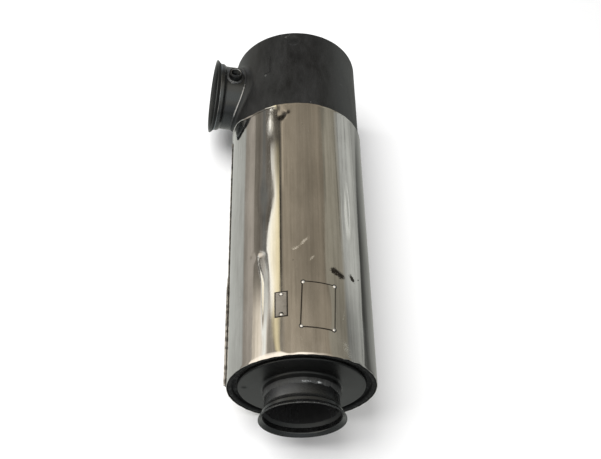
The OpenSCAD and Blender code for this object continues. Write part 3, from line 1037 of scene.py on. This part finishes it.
def rivet_group(name, node, plate, spots):
    """Domed rivets, each with a struck dimple and a dark ring round it, as one piece."""
    rim = RIVET_R + RIVET_DIRT
    outline = divided([(0.0, 1.7)] + arc((0, -1.25), 2.95, 78, 27, 8)
                      + [(RIVET_R, 0.0), (rim, -0.1), (rim, -0.5), (0.0, -0.5)], 0.5, False)
    outline[:, 1] -= 0.25 * bump(outline[:, 0], 0, 0.6) * (outline[:, 1] > 1)
    points, faces, centres = [], [], []
    for u, v in spots:
        def place(r, a, s):
            return on_plate(plate, u + r * np.cos(a), v + r * np.sin(a), 0.6 + s)
        grid, ring = revolved(outline, 32, place, wrap=False)
        start = sum(len(g) for g in points)
        faces += [tuple(start + k for k in f) for f in ring]
        points.append(grid.reshape(-1, 3))
        centres.append(on_plate(plate, u, v, 0.6))

    def dirt_ring(p):
        off_centre = np.min([np.linalg.norm(p - c, axis=1) for c in centres], axis=0)
        return step(off_centre, RIVET_R + 0.05, RIVET_R + 0.3)

    make_piece(name, (np.concatenate(points), faces), [node], "rivet_metal", RIVET, sharp=50,
               stain=dirt_ring)


NAME_INSET = 1.7
SERIAL_INSET = 4.0
rivet_group("name_plate_rivet_heads", "name_plate_rivets", NAME_PLATE,
            [(i * (NAME_PLATE["half_u"] - NAME_INSET), j * (NAME_PLATE["half_v"] - NAME_INSET))
             for i in (-1, 1) for j in (-1, 1)])
rivet_group("serial_plate_rivet_heads", "serial_plate_rivets", SERIAL_PLATE,
            [(0.0, j * (SERIAL_PLATE["half_v"] - SERIAL_INSET)) for j in (-1, 1)])


# ---------- CAD nodes that stay ----------

INNER_NODES = ("front_baffle", "middle_baffle", "rear_baffle", "inlet_diffuser", "diffuser_plug",
               "perforated_core", "transfer_tube_left", "transfer_tube_right")


def repaint(node, material):
    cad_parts[node].data.materials.clear()
    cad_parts[node].data.materials.append(material)


for inner in INNER_NODES:
    repaint(inner, INNER)
repaint("insulation_mat", MAT)
repaint("absorption_packing", PACKING)


# ---------- studio ----------

# What the polished shield mirrors: a tent of light round the body and the floor beside it, seen
# only by reflections. Angles run in degrees from the top towards +X; "run" is metres along +Y.
TENT_R = 3.0
WHITE = np.array((1.0, 0.98, 0.90))
CREAM = np.array((1.0, 0.87, 0.55))
PINK = np.array((1.0, 0.91, 0.78))
BROWN = np.array((1.0, 0.90, 0.74))
TAUPE = np.array((1.0, 0.86, 0.65))
OLIVE = np.array((1.0, 0.93, 0.74))
COOL = np.array((0.98, 1.0, 0.93))

# Panels of the tent: angle, colour, brightness beside the far half and beside the near end
PANELS = [
    (-104, PINK, 0.50, 0.45), (-93.5, PINK, 0.50, 0.72), (-92, BROWN, 0.24, 0.80),
    (-86, BROWN, 0.26, 1.00), (-81, BROWN, 0.18, 1.15), (-76, PINK, 0.26, 1.30), (-70, COOL, 0.20, 1.40),
    (-66, PINK, 0.23, 0.90), (-63, BROWN, 0.18, 0.42), (-42, BROWN, 0.12, 0.38), (-36, TAUPE, 0.45, 0.46),
    (-26, TAUPE, 0.42, 0.48), (-12, TAUPE, 0.35, 0.45), (10, TAUPE, 0.31, 0.36),
    (24, TAUPE, 0.36, 0.41), (30.5, TAUPE, 0.27, 0.42), (32.5, OLIVE, 0.45, 0.40), (44, OLIVE, 0.40, 0.34),
    (50, OLIVE, 0.37, 0.28), (58, OLIVE, 0.36, 0.26), (65, COOL, 0.54, 0.28),
    (78, COOL, 0.63, 0.37), (87, COOL, 0.67, 0.46), (95, COOL, 0.52, 0.18)]

# The key panel's left edge, as (run, angle): it is pinched where the sheet is dented
KEY_EDGE = [(1.5, -49), (1.76, -59), (1.9, -65), (2.2, -65), (2.45, -58.5), (2.57, -51.5),
            (2.7, -56), (3.0, -60.5)]
KEY_END = -43.5
KEY_BREAK = 2.90
# The corner of the key panel that shows beyond the break
KEY_CORNER = [(-66.5, 3.04), (-50, 3.07), (-60, 3.13)]

# Thin dark (-) and bright (+) strips: angle, how it drifts along the run, width, gain, first and last run
STRIPS = [
    (33, 0, 1.4, -0.38, 2.4, 3.3), (36, 0, 3.2, -0.45, 3.02, 3.4), (57.5, 0, 1.0, -0.50, 2.2, 3.2),
    (64, 0, 0.9, -0.45, 2.75, 3.3), (71, 1, 0.6, -0.35, 2.7, 3.3), (76, 5, 0.8, -0.40, 2.6, 3.4),
    (74.6, 1.5, 1.0, 0.75, 2.27, 2.64), (64.2, 2.5, 1.1, 0.40, 2.22, 2.62), (46, -2, 1.6, -0.16, 1.5, 2.4),
    (-36.5, 0, 1.6, 0.7, 2.6, 3.3), (-41.5, 0, 1.1, -0.6, 1.6, 3.25)]


def mixed(a, b, t):
    return a + (b - a) * t[..., None]


def panel_light(angle, run):
    stops = [p[0] for p in PANELS]
    lights = []
    for which in (2, 3):
        colours = np.array([p[1] * p[which] for p in PANELS])
        lights.append(np.stack([np.interp(angle, stops, colours[:, k]) for k in range(3)], -1))
    return mixed(lights[1], lights[0], step(run, 1.68, 2.05))


def inside(angle, run, corners):
    """1 inside a triangle, which is given anticlockwise, fading at its edges."""
    closest = 9.0
    for (a0, r0), (a1, r1) in zip(corners, corners[1:] + corners[:1]):
        across = (a1 - a0) * (run - r0) - (r1 - r0) * (angle - a0)
        closest = np.minimum(closest, across / np.hypot((a1 - a0) * 0.01, r1 - r0))
    return step(closest, 0, 0.5)


def key_light(angle, run):
    """The key panel's light, and how much of it covers each spot."""
    left = np.interp(run, *zip(*KEY_EDGE))
    t = np.clip((angle - left) / (KEY_END - left), 0, 1)
    middle, far, near = 1.6 - 0.3 * t, 1.15 - 0.85 * t, 0.5 + 0.6 * bump(t, 0.6, 0.35)
    power = middle + (far - middle) * step(run, 2.45, 2.8) + (near - middle) * step(run, 1.85, 1.72)
    colour = mixed(WHITE, CREAM, np.clip(t + step(run, 1.85, 1.72), 0, 1))
    cover = step(angle, left - 0.4, left + 0.4) * step(angle, KEY_END + 0.7, KEY_END - 0.7)
    cover = cover * step(run, KEY_BREAK + 0.06, KEY_BREAK - 0.06)
    corner = inside(angle, run, KEY_CORNER)
    return colour * np.maximum(power, 2.6 * corner)[..., None], np.maximum(cover, corner)


def tent_light(angle, run):
    """The whole tent: panels with strips and streaks, the key panel, and two beyond the near end."""
    light = panel_light(angle, run)
    for at, drift, width, gain, first, last in STRIPS:
        strip = bump(angle, at + drift * (run - first), width)
        ends = step(run, first - 0.04, first + 0.08) * step(run, last + 0.04, last - 0.08)
        light = light * (1 + gain * strip * ends)[..., None]
    glint = bump(angle, -72 - 53 * (run - 1.95), 1.2) * step(run, 2.14, 2.08) * step(run, 1.85, 1.95)
    light = light + 0.9 * glint[..., None] * WHITE
    shade = bump(angle, -74, 7) * bump(run, 2.45, 0.10)
    light = light * (1 - 0.35 * shade)[..., None]
    spots = np.stack([angle / 2.6, run * 1.2, 0 * run], -1)
    streaks = 1 + 0.11 * wobble(spots, 1.0, 21) + 0.06 * wobble(spots * 2.7, 1.0, 22)
    light = light * (1 - 0.85 * step(run, 3.26, 3.42) * step(np.abs(angle), 70, 60))[..., None]
    key, cover = key_light(angle, run)
    light = mixed(light * streaks[..., None], key, cover)
    front = step(angle, -112, -96) * step(angle, 40, -20) * step(run, 1.45, 1.0)
    above = step(angle, -50, -30) * step(angle, 60, 40) * step(run, -0.1, -0.4) * step(run, -3.4, -2.6)
    return mixed(mixed(light, 1.75 * PINK, front), 1.3 * WHITE, above)


def floor_light(x, y):
    """The floor as the shield mirrors it, glowing with its light and shade painted in: bright near the body,
    with a painted shadow beside it on the right.
    """
    stops = [-1.0, -0.85, -0.57, -0.51, -0.15, 0.10, 0.28, 0.35, 0.55, 0.72, 0.96, 1.0, 1.05, 1.3]
    lit = [0.50, 0.44, 0.38, 0.58, 0.62, 0.48, 0.40, 0.38, 0.42, 0.42, 0.42, 0.16, 0.42, 0.50]
    dark = [0.50, 0.44, 0.38, 0.58, 0.62, 0.42, 0.34, 0.28, 0.14, 0.09, 0.08, 0.08, 0.08, 0.10]
    power = np.interp(x, stops, lit)
    power = power + (np.interp(x, stops, dark) - power) * step(y, 1.0, 0.88)
    ahead = 0.30 + 0.35 * step(y, -0.09, -0.02)
    power = power + (ahead - power) * step(y, 0.12, 0.0) * step(np.abs(x), 0.6, 0.4)
    brownish = step(x, -0.52, -0.58)
    return mixed(COOL, PINK, brownish) * power[..., None]


def glow_material(name):
    """Gives off the light stored at each vertex."""
    material = bpy.data.materials.new(name)
    material.use_nodes = True
    tree = material.node_tree
    tree.nodes.clear()
    light = add_node(tree, "ShaderNodeAttribute", attribute_name="light").outputs["Color"]
    glow = add_node(tree, "ShaderNodeEmission", {"Color": light, "Strength": 1.0}).outputs[0]
    add_node(tree, "ShaderNodeOutputMaterial", {"Surface": glow})
    material.cycles.emission_sampling = "NONE"
    return material


def stage_mesh(name, points, faces, material):
    mesh = bpy.data.meshes.new(name)
    mesh.from_pydata(points.reshape(-1, 3).tolist(), [], faces)
    mesh.materials.append(material)
    made = add_object(name, mesh)
    return made


def mirrored_only(name, points, light):
    """A glowing grid of points in metres that only shows in reflections."""
    made = stage_mesh(name, points, grid_faces(*points.shape[:2], False, False), glow_material(name))
    layer = made.data.attributes.new("light", "FLOAT_COLOR", "POINT")
    rgba = np.concatenate([light, np.ones(light.shape[:2] + (1,))], -1)
    layer.data.foreach_set("color", rgba.astype(np.float32).ravel())
    made.visible_camera = False
    made.visible_diffuse = False
    made.visible_shadow = False
    made.visible_transmission = False


def closer(lo, first, last, hi, fine, coarse):
    """Positions from lo to hi, fine between first and last and coarse outside."""
    return np.concatenate([np.arange(lo, first, coarse), np.arange(first, last, fine),
                           np.arange(last, hi + coarse, coarse)])


def make_tent():
    angle, run = np.meshgrid(np.arange(-96, 96.1, 0.5), closer(-6, 1.2, 3.5, 7, 0.03, 0.4), indexing="ij")
    turn = np.radians(angle)
    points = np.stack([TENT_R * np.sin(turn), run, TENT_R * np.cos(turn)], -1)
    mirrored_only("light_tent", points, tent_light(angle, run))


def make_floor():
    side, z = 30.0, FLOOR_Z * MM
    corners = np.array([(-side, -side, z), (side, -side, z), (side, side, z), (-side, side, z)])
    m = Surface("white_floor", Roughness=0.7)
    cloud = m.noise(m.place(EVEN), 0.8, 3)
    white = m.finish(Base_Color=m.mix(m.spread(cloud, 0.3, 0.7), *FLOOR_TONES))
    seen = stage_mesh("floor", corners, [(0, 1, 2, 3)], white)
    seen.visible_glossy = False
    x, y = np.meshgrid(closer(-side, -1.6, 1.6, side, 0.02, 2.0), closer(-side, -0.4, 2.4, side, 0.04, 2.0),
                       indexing="ij")
    below = np.stack([x, y, np.full(x.shape, z - 0.001)], -1)
    mirrored_only("floor_in_reflections", below, floor_light(x, y))


SOFTBOX = {"place": (-1.6, 0.3, 2.9), "aim": (0, 0.4, 0), "size": 2.2, "power": 125}
SURROUND = 0.62


def make_softbox():
    light = bpy.data.lights.new("softbox", "AREA")
    light.shape = "SQUARE"
    light.size = SOFTBOX["size"]
    light.energy = SOFTBOX["power"]
    lamp = add_object("softbox", light)
    lamp.location = SOFTBOX["place"]
    aim = Vector(SOFTBOX["aim"]) - Vector(SOFTBOX["place"])
    lamp.rotation_euler = aim.to_track_quat("-Z", "Y").to_euler()
    lamp.visible_glossy = False


def make_world():
    world = bpy.data.worlds.new("studio")
    world.use_nodes = True
    background = world.node_tree.nodes["Background"]
    background.inputs["Color"].default_value = (1.0, 1.0, 1.0, 1)
    background.inputs["Strength"].default_value = SURROUND
    bpy.context.scene.world = world


make_floor()
make_tent()
make_world()
make_softbox()


# ---------- camera ----------

# Where the camera stands, in metres, and its own right-hand and forward directions
CAMERA = (-0.3261, -0.5969, 1.3866)
CAMERA_RIGHT = (0.9756, -0.0188, 0.2189)
CAMERA_FORWARD = (0.1904, 0.5698, -0.7994)
FOCAL_LENGTH, SENSOR = 53.94, 36.0


def make_camera():
    right, forward = Vector(CAMERA_RIGHT).normalized(), Vector(CAMERA_FORWARD).normalized()
    up = right.cross(forward).normalized()
    data = bpy.data.cameras.new("camera")
    data.sensor_width = SENSOR
    data.lens = FOCAL_LENGTH
    camera = add_object("camera", data)
    camera.matrix_world = (Matrix.Translation(Vector(CAMERA))
                           @ Matrix((right, up, -forward)).transposed().to_4x4())
    bpy.context.scene.camera = camera


make_camera()
bpy.context.scene.view_settings.view_transform = "Standard"
